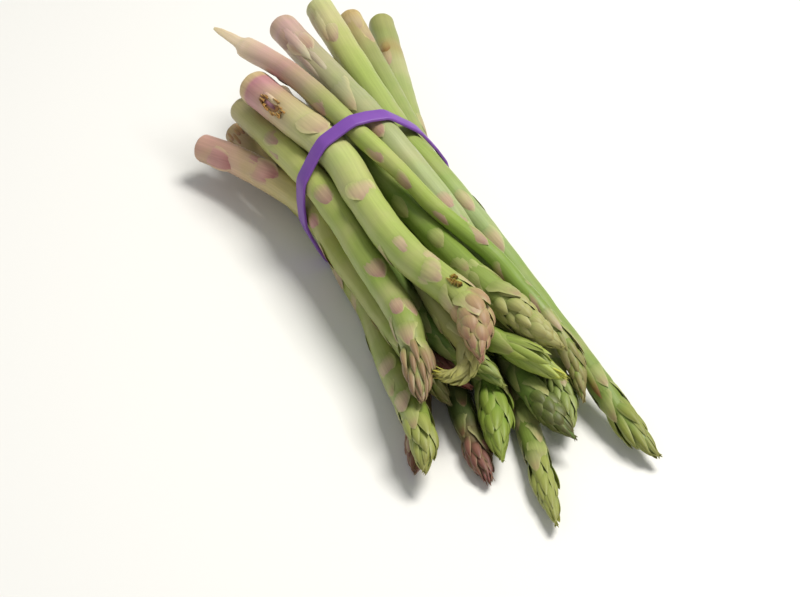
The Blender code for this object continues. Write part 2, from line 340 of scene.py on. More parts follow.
# %% The scales' tree
scale_tree, scale_in = start_tree(
    "set_scales",
    [("Flap", "NodeSocketObject"), ("Roll", "NodeSocketFloat"), ("Lift", "NodeSocketFloat"),
     ("Seed", "NodeSocketInt"), ("Finish", "NodeSocketMaterial")],
)
flap = add_node(scale_tree, "GeometryNodeObjectInfo", {"Object": scale_in["Flap"]})
toward_tip, away, flap_size = (
    add_node(scale_tree, "GeometryNodeInputNamedAttribute", {"Name": name},
             data_type="FLOAT_VECTOR")
    for name in ("toward_tip", "away", "size")
)
turned = add_node(scale_tree, "FunctionNodeAxesToRotation",
                  {"Primary Axis": toward_tip, "Secondary Axis": away}, primary_axis="Y",
                  secondary_axis="Z")
most = add_node(scale_tree, "ShaderNodeCombineXYZ",
                {"X": scale_in["Lift"], "Y": scale_in["Roll"], "Z": scale_in["Roll"]})
minus = add_node(scale_tree, "ShaderNodeVectorMath", {0: most, "Scale": -1.0}, operation="SCALE")
chance = add_node(scale_tree, "FunctionNodeRandomValue",
                  {0: minus, 1: most, "Seed": scale_in["Seed"]}, data_type="FLOAT_VECTOR")
tilt = add_node(scale_tree, "FunctionNodeEulerToRotation", {0: chance})
loose = add_node(scale_tree, "FunctionNodeRotateRotation", {0: turned, 1: tilt},
                 rotation_space="LOCAL")
flaps = add_node(scale_tree, "GeometryNodeInstanceOnPoints",
                 {"Points": scale_in["Geometry"], "Instance": flap.outputs["Geometry"],
                  "Rotation": loose, "Scale": flap_size})
finish_tree(scale_tree, flaps, scale_in["Finish"])
print("scale tree has", len(scale_tree.nodes), "nodes")

# %% [markdown]
# ## Running a tree
#
# A tree works through a modifier. It could stay on the piece, but a plain mesh is easier to
# join, press flat and colour, so the result is taken out and the modifier removed. What a tree
# or a material has to know about a place is noted on the mesh's points.

# %% Run a tree on an object
FIELDS = {"FLOAT": "value", "FLOAT_VECTOR": "vector", "FLOAT_COLOR": "color"}


def grown(obj, tree, values):
    """Runs the tree on obj with these named inputs, and leaves obj with the plain mesh."""
    modifier = obj.modifiers.new(tree.name, "NODES")
    modifier.node_group = tree
    for item in tree.interface.items_tree:
        if item.in_out == "INPUT" and item.name in values:
            modifier[item.identifier] = values[item.name]
    seen = obj.evaluated_get(bpy.context.evaluated_depsgraph_get())
    mesh = bpy.data.meshes.new_from_object(seen)
    obj.modifiers.remove(modifier)
    obj.data = mesh
    return obj


def mesh_object(name, points, edges=(), faces=()):
    mesh = bpy.data.meshes.new(name)
    mesh.from_pydata([tuple(p) for p in points], list(edges), list(faces))
    obj = bpy.data.objects.new(name, mesh)
    bpy.context.scene.collection.objects.link(obj)
    return obj


def note(mesh, name, kind, values):
    """Writes one number, vector or colour on each point of a mesh."""
    layer = mesh.attributes.new(name, kind, "POINT")
    layer.data.foreach_set(FIELDS[kind], np.asarray(values, np.float32).reshape(-1))


print("a point can hold:", ", ".join(FIELDS))

# %% [markdown]
# ## The flaps
#
# A flap is drawn on the unit stem: x is across, y runs towards the tip and z is out of the
# stem, with its base on the stem's surface. Its outside rises a little over its own length and
# bulges where a bud sits under it; its inside lies just below, and the two share their edge,
# so the flap is closed. Some forty faces on each side are enough at this size.

# %% Flap shapes
ROWS = 7
ACROSS = 6
BASE_SINK = 0.09  # share of the stem's radius, so that a flap grows out of the skin
BASE_PLUMP = 0.08  # how far along its wave the bulge is at the base
FLESH = 0.75  # share of the bulge that is solid
DIP_FROM = 0.7  # share of the length from which the point dips
FOLD = 0.9  # radians between faces that show as an edge


def flap_object(name, wrap, outline, rise, plump, press, edge=1.0, thin=0.05):
    """wrap: half angle at the widest; outline: share of the width by share of the length;
    press: how far its point dips back towards the stem; edge: how far out its rim lies. All
    are shares of the stem's radius."""
    points, faces, outside, sideways, reach = [], [], [], [], []
    for skin in (1, 0):
        for row in range(ROWS + 1):
            t = row / ROWS
            for column in range(ACROSS + 1):
                u = 2 * column / ACROSS - 1
                turn = u * wrap * outline(t)
                wave = math.sin(math.pi * (BASE_PLUMP + (1 - BASE_PLUMP) * t))
                crown = (1 - u * u) * wave
                out = edge + rise * t * t + plump * crown - BASE_SINK * max(0.0, 1 - 5 * t)
                out -= press * max(0.0, (t - DIP_FROM) / (1 - DIP_FROM)) ** 2
                on_rim = u in (-1, 1) or row in (0, ROWS)
                out -= 0 if skin or on_rim else thin + FLESH * plump * crown
                points.append((out * math.sin(turn), t, out * math.cos(turn) - 1))
                outside.append(u)
                sideways.append(u * outline(t))
                reach.append(t)
    wide = ACROSS + 1
    half = wide * (ROWS + 1)
    for skin, start in ((1, 0), (0, half)):
        for row in range(ROWS):
            for column in range(ACROSS):
                a = start + row * wide + column
                face = (a, a + 1, a + 1 + wide, a + wide)
                faces.append(face if skin else face[::-1])
    obj = mesh_object(name, points, faces=faces)
    note(obj.data, "across", "FLOAT", outside)
    note(obj.data, "sideways", "FLOAT", sideways)
    note(obj.data, "reach", "FLOAT", reach)
    shape = bmesh.new()
    shape.from_mesh(obj.data)
    bmesh.ops.remove_doubles(shape, verts=shape.verts, dist=1e-5)
    bmesh.ops.recalc_face_normals(shape, faces=shape.faces)
    for line in shape.edges:
        line.smooth = line.calc_face_angle(0.0) < FOLD
    shape.to_mesh(obj.data)
    shape.free()
    obj.hide_render = True
    return obj


def diamond(t):
    return max(0.0, math.sin(math.pi * (0.15 + 0.85 * t) ** 0.9)) ** 0.75


def shield(t):
    return (0.80 + 0.20 * math.sin(math.pi * min(1, 2.2 * t + 0.1))) * max(0.0, 1 - t) ** 0.62


def thumb(t):
    return (0.82 + 0.22 * math.sin(math.pi * t)) * max(0.0, 1 - t**3.2) ** 0.75


def lance(t):
    return (0.78 + 0.50 * t) * max(0.0, 1 - t**1.7) ** 0.9


flap_shapes = {
    "flush": flap_object("flap_flush", 0.86, diamond, 0.02, 0.03, 0.05, 1.012, 0.02),
    "neck": flap_object("flap_neck", 1.10, shield, 0.05, 0.05, 0.08, 1.0, 0.03),
    "bud": flap_object("flap_bud", 0.66, thumb, 0.02, 0.27, 0.14),
    "leaf": flap_object("flap_leaf", 0.56, lance, 0.03, 0.20, 0.12),
    "finger": flap_object("flap_finger", 0.36, lance, 0.03, 0.26, 0.10),
    "thread": flap_object("flap_thread", 0.15, lance, 0.25, 0.10, 0.0),
}
print("flaps:", {name: len(obj.data.polygons) for name, obj in flap_shapes.items()})

# %% [markdown]
# ## The skin
#
# Asparagus skin is plant cuticle, a thin wax over fibrous green flesh, so it is satin rather
# than glossy: IOR 1.43 and a roughness near 0.45. The colour runs from the blushed or cream
# butt, which grew under the soil, to green. Fibres run along the stem about 0.6 mm apart and
# show as faint lines. The cut end is pale and dotted with the ends of the fibre bundles.


# %% Skin: fibres
def start_material(name, *notes):
    """An empty material, its tree, and the outputs that read these notes on the mesh."""
    material = bpy.data.materials.new(name)
    material.use_nodes = True
    tree = material.node_tree
    tree.nodes.clear()
    read = [add_node(tree, "ShaderNodeAttribute", attribute_name=name).outputs for name in notes]
    return material, tree, dict(zip(notes, read))


def finish_material(tree, inputs):
    shader = add_node(tree, "ShaderNodeBsdfPrincipled", inputs)
    add_node(tree, "ShaderNodeOutputMaterial", {"Surface": shader})


FIBRES = (8.0, 22.0)  # noise cells over one radius, so 50 fibres round the stem; mm along it
STREAKS = (1.6, 60.0)  # ten broad streaks round the stem; mm along it

skin, tree, noted = start_material("asparagus_skin_waxy", "tint", "round", "along", "cut")
place = add_node(tree, "ShaderNodeTexCoord").outputs["Object"]
round_parts = add_node(tree, "ShaderNodeSeparateXYZ", {0: noted["round"]["Vector"]}).outputs


def fibre_noise(across_scale, length_mm):
    """Noise stretched along the stem; its ring-shaped lookup has no seam."""
    scaled = [add_node(tree, "ShaderNodeMath", {0: socket, 1: factor}, operation="MULTIPLY")
              for socket, factor in ((round_parts[0], across_scale),
                                     (round_parts[1], across_scale),
                                     (noted["along"]["Fac"], 1 / length_mm))]
    where = add_node(tree, "ShaderNodeCombineXYZ", dict(enumerate(scaled)))
    return add_node(tree, "ShaderNodeTexNoise", {"Vector": where, "Scale": 1.0, "Detail": 3.0})


fibres = fibre_noise(*FIBRES)
streaks = fibre_noise(*STREAKS)
blotches = add_node(tree, "ShaderNodeTexNoise", {"Vector": place, "Scale": 110.0, "Detail": 4.0})
fibre_share, streak_share = (
    add_node(tree, "ShaderNodeMapRange", dict(enumerate(row)))
    for row in ((fibres, 0.35, 0.65, 0.93, 1.05), (streaks, 0.3, 0.7, 0.93, 1.06)))
shares = add_node(tree, "ShaderNodeMath", {0: fibre_share, 1: streak_share}, operation="MULTIPLY")
lined = add_node(tree, "ShaderNodeVectorMath", {0: noted["tint"]["Color"], "Scale": shares},
                 operation="SCALE")
print("fibres and streaks:", len(tree.nodes), "nodes")

# %% Skin: blushed patches and leafy blotches
BLUSH = linear("#B9AE80")
LEAFY_SHARES = (0.84, 0.98, 0.60)  # of red, green and blue

blotch_share = add_node(tree, "ShaderNodeMapRange",
                        {0: blotches, 1: 0.45, 2: 0.72, 3: 0.0, 4: 0.42})
patches = add_node(tree, "ShaderNodeTexNoise", {"Vector": place, "Scale": 48.0, "Detail": 3.0})
patch_share = add_node(tree, "ShaderNodeMapRange", {0: patches, 1: 0.46, 2: 0.74, 3: 0.0, 4: 0.5})
blushed = add_node(tree, "ShaderNodeMix", {0: patch_share, 6: lined, 7: BLUSH}, data_type="RGBA")
leafy = add_node(tree, "ShaderNodeVectorMath", {0: blushed.outputs[2], 1: LEAFY_SHARES},
                 operation="MULTIPLY")
mottled = add_node(tree, "ShaderNodeMix", {0: blotch_share, 6: blushed.outputs[2], 7: leafy},
                   data_type="RGBA")
print("with patches:", len(tree.nodes), "nodes")

# %% Skin: cut end, relief and gloss
dots = add_node(tree, "ShaderNodeTexVoronoi", {"Vector": place, "Scale": 900.0})
dot_share = add_node(tree, "ShaderNodeMapRange", {0: dots, 1: 0.12, 2: 0.38, 3: 1.0, 4: 0.0})
flesh = add_node(tree, "ShaderNodeMix", {0: dot_share, 6: linear("#DCDDB4"), 7: linear("#A9B27C")},
                 data_type="RGBA")
cut_share = add_node(tree, "ShaderNodeMapRange",
                     {0: noted["cut"]["Fac"], 1: 0.25, 2: 0.75, 3: 0.0, 4: 1.0})
with_cut = add_node(tree, "ShaderNodeMix",
                    {0: cut_share, 6: mottled.outputs[2], 7: flesh.outputs[2]}, data_type="RGBA")
fine = add_node(tree, "ShaderNodeTexNoise", {"Vector": place, "Scale": 1400.0, "Detail": 2.0})
relief = add_node(tree, "ShaderNodeMath", {0: fine, 1: 0.25, 2: fibres}, operation="MULTIPLY_ADD")
bump = add_node(tree, "ShaderNodeBump",
                {"Height": relief, "Strength": 0.35, "Distance": 0.15 * MM})
rough = add_node(tree, "ShaderNodeMapRange", {0: blotches, 1: 0.3, 2: 0.7, 3: 0.40, 4: 0.52})

CUTICLE = {"IOR": 1.43, "Subsurface Weight": 0.10, "Subsurface Radius": (1.0, 1.2, 0.5)}
finish_material(tree, {**CUTICLE, "Base Color": with_cut.outputs[2], "Normal": bump,
                       "Roughness": rough, "Subsurface Scale": 1.2 * MM})
print(skin.name, "has", len(tree.nodes), "nodes")

# %% [markdown]
# ## The scales' finish
#
# A scale is thin and dry at its edge and fleshy in its middle. It starts in the colour of the
# stem under it, turns mauve, beige or green in its middle, and ends in a pale papery rim.
# Fine veins run from its base to its tip, about 0.5 mm apart.

# %% Scale colours
scale_skin, tree, noted = start_material(
    "asparagus_scale_papery", "reach", "across", "sideways", "base_tint", "tint", "tip_tint",
    "rim_tint", "rim")
place = add_node(tree, "ShaderNodeTexCoord").outputs["Object"]
reach = noted["reach"]["Fac"]
from_base = add_node(tree, "ShaderNodeMapRange", {0: reach, 1: 0.02, 2: 0.50, 3: 0.0, 4: 1.0},
                     interpolation_type="SMOOTHSTEP")
to_tip = add_node(tree, "ShaderNodeMapRange", {0: reach, 1: 0.45, 2: 0.95, 3: 0.0, 4: 1.0},
                  interpolation_type="SMOOTHSTEP")
body_colour = add_node(tree, "ShaderNodeMix",
                       {0: from_base, 6: noted["base_tint"]["Color"], 7: noted["tint"]["Color"]},
                       data_type="RGBA")
tip_colour = add_node(tree, "ShaderNodeMix",
                      {0: to_tip, 6: body_colour.outputs[2], 7: noted["tip_tint"]["Color"]},
                      data_type="RGBA")
beside = add_node(tree, "ShaderNodeMath", {0: noted["across"]["Fac"]}, operation="ABSOLUTE")
side_rim = add_node(tree, "ShaderNodeMapRange", {0: beside, 1: 0.66, 2: 0.92, 3: 0.0, 4: 1.0})
tip_rim = add_node(tree, "ShaderNodeMapRange", {0: reach, 1: 0.86, 2: 1.0, 3: 0.0, 4: 1.0})
rim = add_node(tree, "ShaderNodeMath", {0: side_rim, 1: tip_rim}, operation="MAXIMUM")
rim_share = add_node(tree, "ShaderNodeMath", {0: rim, 1: noted["rim"]["Fac"]},
                     operation="MULTIPLY")
rimmed = add_node(tree, "ShaderNodeMix",
                  {0: rim_share, 6: tip_colour.outputs[2], 7: noted["rim_tint"]["Color"]},
                  data_type="RGBA")
print("base, body, tip and rim:", len(tree.nodes), "nodes")

# %% Scale veins
VEIN_STRETCH = (6.0, 0.8, 1.0)  # many cells across a scale, about one along it

vein_place = add_node(tree, "ShaderNodeCombineXYZ", {0: noted["sideways"]["Fac"], 1: reach})
vein_stretch = add_node(tree, "ShaderNodeVectorMath", {0: vein_place, 1: VEIN_STRETCH},
                        operation="MULTIPLY")
vein_shift = add_node(tree, "ShaderNodeVectorMath", {0: place, "Scale": 60.0}, operation="SCALE")
vein_where = add_node(tree, "ShaderNodeVectorMath", {0: vein_stretch, 1: vein_shift},
                      operation="ADD")
veins = add_node(tree, "ShaderNodeTexNoise", {"Vector": vein_where, "Scale": 1.3, "Detail": 3.0})
vein_share = add_node(tree, "ShaderNodeMapRange", {0: veins, 1: 0.35, 2: 0.65, 3: 0.91, 4: 1.07})
veined = add_node(tree, "ShaderNodeVectorMath", {0: rimmed.outputs[2], "Scale": vein_share},
                  operation="SCALE")
calm = add_node(tree, "ShaderNodeMapRange", {0: reach, 1: 0.55, 2: 0.85, 3: 0.4, 4: 0.0})
bump = add_node(tree, "ShaderNodeBump", {"Height": veins, "Strength": calm, "Distance": 0.2 * MM})
finish_material(tree, {**CUTICLE, "Base Color": veined, "Normal": bump,
                       "Roughness": 0.52, "Subsurface Scale": 0.8 * MM})
print(scale_skin.name, "has", len(tree.nodes), "nodes")

# %% [markdown]
# ## What each spear looks like
#
# One row for each spear: the colours along its skin, by millimetres from the butt; the colours
# of its stem scales; the kind of head, how many scales it has, how long they are and how far
# they lift, and the colours of a scale low in the head and at the tip; and the places of the
# stem scales that lie on the upper side, as millimetres from the butt and degrees on the clock.
# The other stem scales follow the plant's own rule, one every 137.5 degrees. A last table says
# how many millimetres of each spear are its head.

# %% The table of spears
MAUVE = ("#B0947A", "#A38070")
BEIGE = ("#B8A680", "#AE947A")
PINK = ("#B88680", "#AA6E68")
LEAFY = ("#9AA25E", "#94925A")
GREENISH = ("#A2A468", "#A08C66")
HIDDEN_BUTT = [(0, "#B8A284"), (40, "#9AA05A")]

looks = {
    "spear_01": dict(
        skin=[(0, "#A98868"), (20, "#B39A6C"), (60, "#A5A85A"), (130, "#8E9C44"), (204, "#7F9040")],
        scales=BEIGE, neck=GREENISH,
        head=("leaf", "leaf", 26, 12.5, 4, "#929A4C", "#807840"),
        placed=[(30, 20), (85, 89), (104, 97), (147, 40), (169, 49)]),
    "spear_02": dict(
        skin=[(0, "#C4938A"), (20, "#C4A488"), (45, "#B8A870"), (70, "#A2A452"), (110, "#929C44"),
              (169, "#78883C")],
        scales=PINK, neck=GREENISH,
        head=("leaf", "leaf", 24, 9.5, 8, "#848448", "#746444"),
        placed=[(5, 74), (22, 13), (28, 40), (66, 79)]),
    "spear_03": dict(
        skin=[(0, "#BAAC80"), (20, "#A6A464"), (45, "#B4B86A"), (90, "#A0AE58"), (130, "#8CA04A"),
              (178, "#8A8C54")],
        scales=MAUVE, neck=MAUVE,
        head=("finger", "finger", 34, 13.0, 6, "#947A58", "#765844"),
        placed=[(28, 24), (32, 83), (70, 34), (112, 18), (134, 31)]),
    "spear_04": dict(
        skin=[(0, "#C8B084"), (3.0, "#C8AE84"), (4.5, "#BA8288"), (10, "#BE8E8C"),
              (20, "#BCA284"), (35, "#BAB480"), (60, "#B2BC74"), (90, "#A8B464"),
              (120, "#9CAC58"), (172, "#989C58")],
        scales=BEIGE, neck=BEIGE,
        head=("bud", "leaf", 30, 11.0, 5, "#A58C64", "#8E5850"),
        placed=[(34, 6), (77, 15), (110, 25), (121, -31), (127, 37)]),
    "spear_05": dict(
        skin=[(0, "#E2CEA8"), (16, "#E4CEB0"), (28, "#D0A8A0"), (40, "#BA9088"), (55, "#AC987A"),
              (66, "#A0A066"), (76, "#94A454"), (100, "#A6B260"), (130, "#92A648"),
              (160, "#7E9840"), (220, "#788A3A")],
        peel=[(0, 0.5), (3, 1.2), (8, 1.7), (13, 2.0), (15.0, 2.4), (16.0, 3.4), (18, 3.8),
              (26, 3.9), (38, 3.8)],
        flat=[(0, 0.75), (13, 0.70), (17, 0.50), (24, 0.25), (34, 0.0)], flat_clock=40,
        scales=MAUVE, neck=BEIGE,
        head=("leaf", "leaf", 34, 9.0, 5, "#8A864C", "#7C6844"),
        placed=[(58, 79), (95, 56), (112, 78), (131, 73), (146, 17), (162, 72), (179, 67)]),
    "spear_06": dict(
        skin=[(0, "#C8A09A"), (14, "#C0A494"), (28, "#AEA686"), (50, "#A4A67C"), (80, "#A0A676"),
              (120, "#A2AE78"), (160, "#86984C"), (219, "#7C8E46")],
        scales=MAUVE, neck=GREENISH,
        head=("leaf", "finger", 30, 11.0, 7, "#879650", "#8E9054"),
        placed=[(5, 73), (14, 26), (62, 85), (75, 38), (116, 19), (125, 9)]),
    "spear_07": dict(
        skin=[(0, "#C0C08A"), (15, "#C2BC88"), (30, "#B0B46E"), (50, "#9EAC5C"), (75, "#9AA85E"),
              (105, "#8C9E4C"), (130, "#9CAC74"), (160, "#869C4E"), (244, "#7A8A40")],
        scales=BEIGE, neck=GREENISH,
        head=("leaf", "leaf", 24, 13.5, 3, "#868E40", "#767236"),
        placed=[(0, 99), (16, 35), (62, 42), (118, 21), (138, 34), (190, 40)]),
    "spear_08": dict(
        skin=[(0, "#BCA26C"), (12, "#B0A06C"), (25, "#969860"), (50, "#929E5C"), (90, "#889A54"),
              (234, "#607834")],
        scales=BEIGE, neck=LEAFY,
        # Painted shade: the head's dark greens stand in for the shadow it lies in among the other
        # heads.
        head=("bud", "leaf", 28, 8.5, 4, "#5C6630", "#54482C"),
        placed=[(0, 14), (10, -28)]),
    "spear_09": dict(
        skin=[(0, "#90944C"), (15, "#929C5C"), (22, "#A4925C"), (32, "#A8AC7A"), (60, "#92A25A"),
              (218, "#6A8038")],
        scales=BEIGE, neck=LEAFY,
        head=("leaf", "finger", 24, 7.0, 14, "#5C7434", "#6A663A"),
        placed=[(22, 23)]),
    "spear_10": dict(
        skin=[(0, "#B89A78"), (40, "#A0A05E"), (150, "#7E6A42"), (188, "#6C5038")],
        scales=MAUVE, neck=MAUVE,
        head=("leaf", "leaf", 28, 9.0, 6, "#7E5A44", "#683E36")),
    "spear_11": dict(
        # Painted shade: the dark greens from 140 to 172 mm stand in for the shadow this stretch
        # lies in, under the spears around it.
        skin=[(0, "#B89A78"), (40, "#8A9450"), (140, "#48602A"), (172, "#4C5A2C"),
              (188, "#644838")],
        scales=LEAFY, neck=("#7C8048", "#74543E"),
        head=("leaf", "finger", 30, 10.0, 8, "#80574A", "#603632")),
    "spear_12": dict(
        skin=HIDDEN_BUTT + [(150, "#63762E"), (190, "#72843A"), (228, "#8E984A")],
        scales=LEAFY, neck=("#A4A070", "#A09064"),
        head=("leaf", "leaf", 30, 13.0, 3, "#929A4C", "#868444"),
        placed=[(146, 81), (160, 20), (174, -7), (180, 85), (192, 2)]),
    "spear_13": dict(
        skin=HIDDEN_BUTT + [(150, "#607E30"), (196, "#84A03C")],
        scales=LEAFY, neck=LEAFY,
        head=("leaf", "leaf", 30, 14.0, 3, "#7E9238", "#86923C")),
    "spear_14": dict(
        skin=[(0, "#B8B07A"), (40, "#A0A45E"), (120, "#86804C"), (161, "#94605A")],
        scales=PINK, neck=PINK,
        head=("leaf", "leaf", 28, 10.0, 3, "#A4685E", "#94483A")),
    "spear_15": dict(
        skin=HIDDEN_BUTT + [(140, "#607E30"), (174, "#78903C")],
        scales=LEAFY, neck=LEAFY,
        head=("leaf", "leaf", 26, 10.0, 5, "#829444", "#828444")),
    "spear_16": dict(
        skin=[(0, "#B0A078"), (18, "#98A058"), (110, "#8C984C"), (150, "#98945A"),
              (182, "#ACA860")],
        scales=BEIGE, neck=GREENISH,
        head=("leaf", "finger", 52, 6.8, 1, "#ACA868", "#BEBA60")),
    "spear_17": dict(
        skin=[(0, "#B8A284"), (30, "#A0A65A"), (60, "#92A64A"), (90, "#708A34"), (130, "#7E9240"),
              (181, "#9AA060")],
        scales=LEAFY, neck=GREENISH,
        head=("leaf", "bud", 40, 9.6, 2, "#A2A264", "#948A50"),
        placed=[(87, 53), (112, 44), (132, 36), (138, 75)]),
    "spear_18": dict(
        skin=HIDDEN_BUTT + [(130, "#688434"), (184, "#92A64A")],
        scales=LEAFY, neck=LEAFY,
        head=("leaf", "finger", 28, 17.0, 2, "#8E9E48", "#A8AE4C")),
    "spear_19": dict(
        skin=HIDDEN_BUTT + [(182, "#829246")],
        scales=BEIGE, neck=GREENISH,
        head=("bud", "leaf", 26, 8.0, 5, "#909852", "#8C8650")),
}
HEAD_MM = {1: 24, 2: 20, 3: 26, 4: 28, 5: 26, 6: 26, 7: 28, 8: 22, 9: 18, 10: 22, 11: 22, 12: 32,
           13: 32, 14: 20, 15: 24, 16: 26, 17: 32, 18: 26, 19: 18}
print("rows:", len(looks))

# %% [markdown]
# ## What happened to single spears
#
# Fresh produce is never perfect. One butt has dried and browned; the thickest spear has a torn
# place near its butt and a yellow bruise near its head; its neighbour has thin pale skins
# peeling from it; one on the far side has a scar; one carries a long brown scale beside its
# head; three end in frayed threads. Each is a few more flaps of the same kinds, and a rough
# place is many tiny ones laid out by a rule.

# %% Single features
BROWN_EDGE = "#9A6A2C"
FILM = ("#C4BE9A", "#C9C4A0")
# kind, mm from the butt, clock, length in mm, colours of body and tip, and what else differs
EXTRAS = {
    "spear_01": [
        ("flush", 0.6 + 1.3 * (k % 3), 20 * k - 50, 6.0 + 2 * (k % 2), ("#A9834A", "#A0785A"),
         dict(wide=0.40, lift=1, rim=0.8, fade=0.1, rim_colour="#8E6430")) for k in range(8)
    ],
    "spear_04": [
        ("flush", 10.5, 54, 16.0, ("#A98448", "#8E6028"),
         dict(wide=0.74, rim=1.0, fade=0.3, rim_colour=BROWN_EDGE)),
        ("flush", 13.5, 53, 10.5, ("#A87884", "#6E3C38"),
         dict(wide=0.44, rim=0.5, seat=1.02, rim_colour="#7A4A34")),
        ("neck", 11.0, 36, 13.0, ("#CDBB98", "#D2BC8E"),
         dict(wide=0.42, lift=2, rim=0.5, fade=0.2, rim_colour=BROWN_EDGE)),
    ] + [
        ("flush", 17.5 + 6.2 * math.cos(k), 53 + 20 * math.sin(k), 3.4 + 1.1 * (k % 4),
         ("#AE8A46", "#8A5A26"),
         dict(wide=0.13, lift=12 + 5 * (k % 2), rim=1.0, fade=0.1, rim_colour="#C09A54"))
        for k in range(17)
    ] + [
        ("flush", 139.0 + 1.1 * (k % 5), 17 - 5 * (k % 6), 2.2,
         ("#A8953E", "#8A6426") if k % 2 else ("#BCA84C", "#94702C"),
         dict(wide=0.12, lift=14 + 6 * (k % 3), rim=0.6, fade=0.1, rim_colour="#7E5A20"))
        for k in range(16)
    ],
    "spear_06": [
        ("neck", 4.0, 40, 30.0, FILM, dict(wide=0.8, rim=1.0, fade=0.8, rim_colour="#CFC6A0")),
        ("neck", 14.0, 66, 34.0, FILM, dict(wide=0.62, rim=1.0, fade=0.85, rim_colour="#C8BE9C")),
        ("neck", 24.0, 22, 26.0, FILM, dict(wide=0.6, rim=1.0, fade=0.85, rim_colour="#BFAE94")),
        ("neck", 50.0, 45, 22.0, ("#B5AE82", "#BAA684"),
         dict(wide=1.1, rim=0.8, fade=0.65, rim_colour="#C4BE8C")),
    ],
    "spear_07": [
        ("neck", 3.0, 60, 24.0, ("#C8C090", "#C9B48C"), dict(wide=0.9, rim=0.7, fade=0.4)),
        ("neck", 196.0, 48, 22.0, ("#7E8C3C", "#7A4E30"),
         dict(wide=0.75, rim=0.2, lift=2, fade=0.1)),
    ],
    "spear_09": [
        ("flush", 17.0, 24, 9.0, ("#A08652", "#8A6A3C"),
         dict(wide=0.8, lift=2, rim=1.0, fade=0.3, rim_colour="#96783E")),
    ],
    "spear_12": [
        ("neck", 158.0, 62, 20.0, ("#A08A62", "#9A7A5C"), dict(wide=0.7, rim=0.5, fade=0.3)),
    ],
}
# thread colour, how many, their length in mm, degrees that they spread
FRAYED = {"spear_18": ("#C2C24E", 12, 7.0, 9), "spear_16": ("#C4BE52", 9, 5.0, 14),
          "spear_11": ("#7A4440", 7, 5.0, 20)}

# %% [markdown]
# ## Growing the stems
#
# The curve has a point every 1.5 mm. A few more rings, very close together, close the butt
# with a rounded rim and a flat cut face, and close the tip. Inside the head the stem shrinks
# to a core, because the scales give the head its thickness. The stem swells by a few
# hundredths under each stem scale, as the real one does at its joints.

# %% Stems
# mm from the butt, and share of the full radius there: a flat face with a rounded rim
RIM_STEPS = [(0.0, 0.02), (0.03, 0.45), (0.06, 0.82), (0.12, 0.94), (0.35, 0.98), (0.8, 1.0)]
TIP_STEPS = (0.7, 0.35, 0.12)  # mm from the tip
RING_SPACING = 1.5  # mm
CUT_FACE = (0.09, 0.35)  # mm over which the pale cut face gives way to skin
CORE_SHARE = 0.74
CORE_FROM, CORE_TO = -6, 8  # mm from where the head starts
JOINT_LONG, JOINT_SWELL = 3.5, 0.02  # mm, share of the radius
THINNEST = 0.06 * MM
GOLDEN_ANGLE = 137.5
NECK_FREE = 18  # mm below the head that stem scales leave to the neck scales
UPPER_SIDE = (-75, 125)  # the part of the clock where scales have chosen places


def skin_colours(look, mm):
    """The skin's colour at mm from the butt, between the colours in the spear's row."""
    stops, chart = zip(*look["skin"])
    return read_at(mm, stops, np.array([linear(colour) for colour in chart]))


def stem_scale_places(look, route, head_mm, number):
    """(mm, clock angle) of every scale below the neck, closer and closer towards it."""
    chosen = list(look.get("placed", ()))
    by_rule_only = not chosen
    mm, turn = 12.0 + 3.0 * (number % 4) + (20 if "peel" in look else 0), 41.0 * number
    end = route.length - head_mm - NECK_FREE
    while mm < end:
        clock = (turn + 180) % 360 - 180
        if by_rule_only or not UPPER_SIDE[0] < clock < UPPER_SIDE[1]:
            chosen.append((mm, clock))
        mm += 8.0 + 18.0 * (end - mm) / end
        turn += GOLDEN_ANGLE
    return chosen


def flatten(mesh, look, route):
    """Presses the torn end of a stem into a thin strip that faces up and to the side."""
    corners = np.array([v.co for v in mesh.vertices])
    mm = np.array([item.value for item in mesh.attributes["along"].data])
    turn = math.radians(look["flat_clock"])
    facing = read_at(mm, route.mm, math.cos(turn) * route.up + math.sin(turn) * route.side)
    share = np.interp(mm, *zip(*look["flat"]))
    height = ((corners - read_at(mm, route.mm, route.line)) * facing).sum(1)
    corners -= facing * (height * share)[:, None]
    mesh.vertices.foreach_set("co", corners.reshape(-1))


def stem_object(name, look, route, head_mm, places):
    rings = [mm for mm, _ in RIM_STEPS]
    rings += list(np.linspace(1.8, route.length - 1.2, int(route.length / RING_SPACING)))
    rings = np.array(rings + [route.length - mm for mm in TIP_STEPS])
    shares = np.interp(rings, *zip(*RIM_STEPS))
    neck = route.length - head_mm
    core = np.interp(rings, [neck + CORE_FROM, neck + CORE_TO], [1.0, CORE_SHARE])
    swell = sum(np.exp(-(((rings - mm - 1.0) / JOINT_LONG) ** 2)) for mm, _ in places if mm > 3)
    radii = np.maximum(np.interp(rings, route.mm, route.radii), THINNEST)
    radii *= shares * core * (1 + JOINT_SWELL * np.minimum(swell, 1))
    if "peel" in look:
        mm, wide_mm = zip(*look["peel"])
        radii = np.where(rings < mm[-1], np.interp(rings, mm, wide_mm) * MM * shares, radii)
    obj = mesh_object(name, read_at(rings, route.mm, route.line),
                      edges=[(i, i + 1) for i in range(len(rings) - 1)])
    note(obj.data, "thickness", "FLOAT", radii)
    note(obj.data, "along", "FLOAT", rings)
    note(obj.data, "cut", "FLOAT", np.interp(rings, CUT_FACE, [1.0, 0.0]))
    note(obj.data, "tint", "FLOAT_COLOR", skin_colours(look, rings))
    grown(obj, stem_tree,
          {"Sides": STEM_SIDES, "Flutes": FLUTES, "Flute depth": FLUTE_DEPTH, "Skin": skin})
    if "flat" in look:
        flatten(obj.data, look, route)
    return obj


print("a ring every", RING_SPACING, "mm")

# %% [markdown]
# ## Setting the scales
#
# A stem scale is about as wide as the stem and 10 to 17 mm long. In the neck, just below the
# head, the scales are the widest and lie one over the next. In the head they follow the same
# spiral, closer and closer, and shrink and narrow towards the tip.

